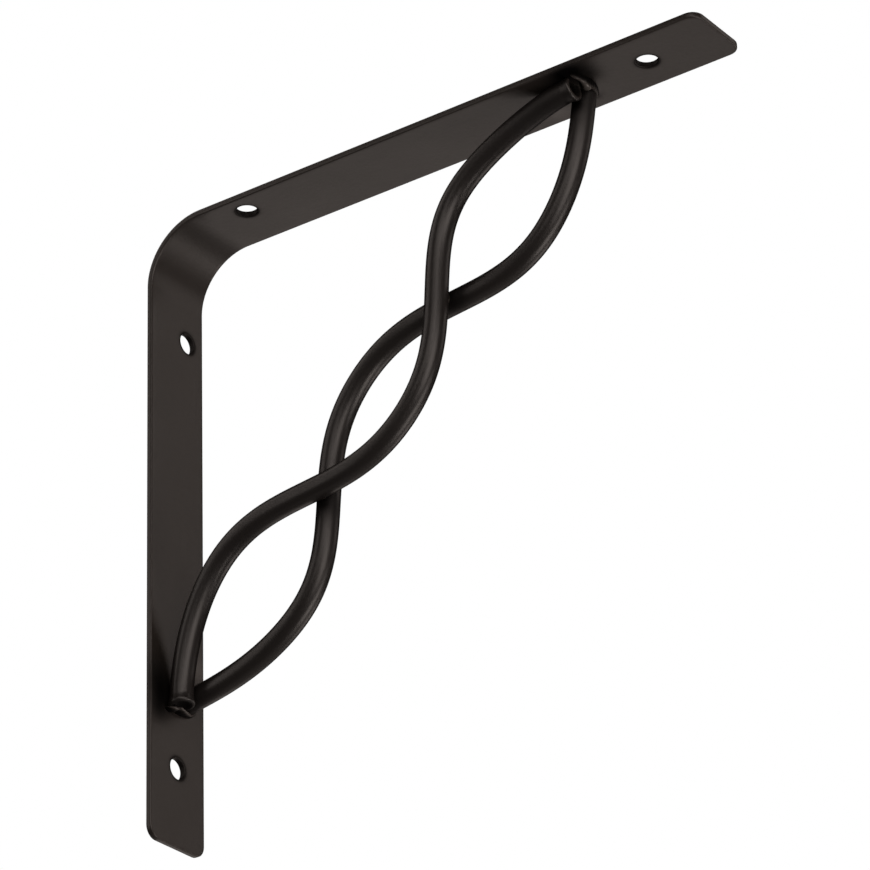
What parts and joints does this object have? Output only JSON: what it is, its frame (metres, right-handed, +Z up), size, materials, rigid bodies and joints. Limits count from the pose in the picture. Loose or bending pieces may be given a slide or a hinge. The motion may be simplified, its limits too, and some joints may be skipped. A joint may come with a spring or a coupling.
{
  "type": "steel shelf bracket",
  "caption": "Flat steel bar bent to a right angle with two waving round rods crossing the corner, for fixing a shelf to a wall.",
  "frame": {"origin": "on the wall face, midway between the two wall screw holes", "axes": "+X out from the wall, +Y along the wall across the bar, +Z up to the shelf"},
  "size_m": [0.203, 0.025, 0.203],
  "materials": {
    "powder_coat": "satin"
  },
  "bodies": {
    "root": {"strap": "powder_coat", "front_rod": "powder_coat", "back_rod": "powder_coat"}
  },
  "joints": []
}
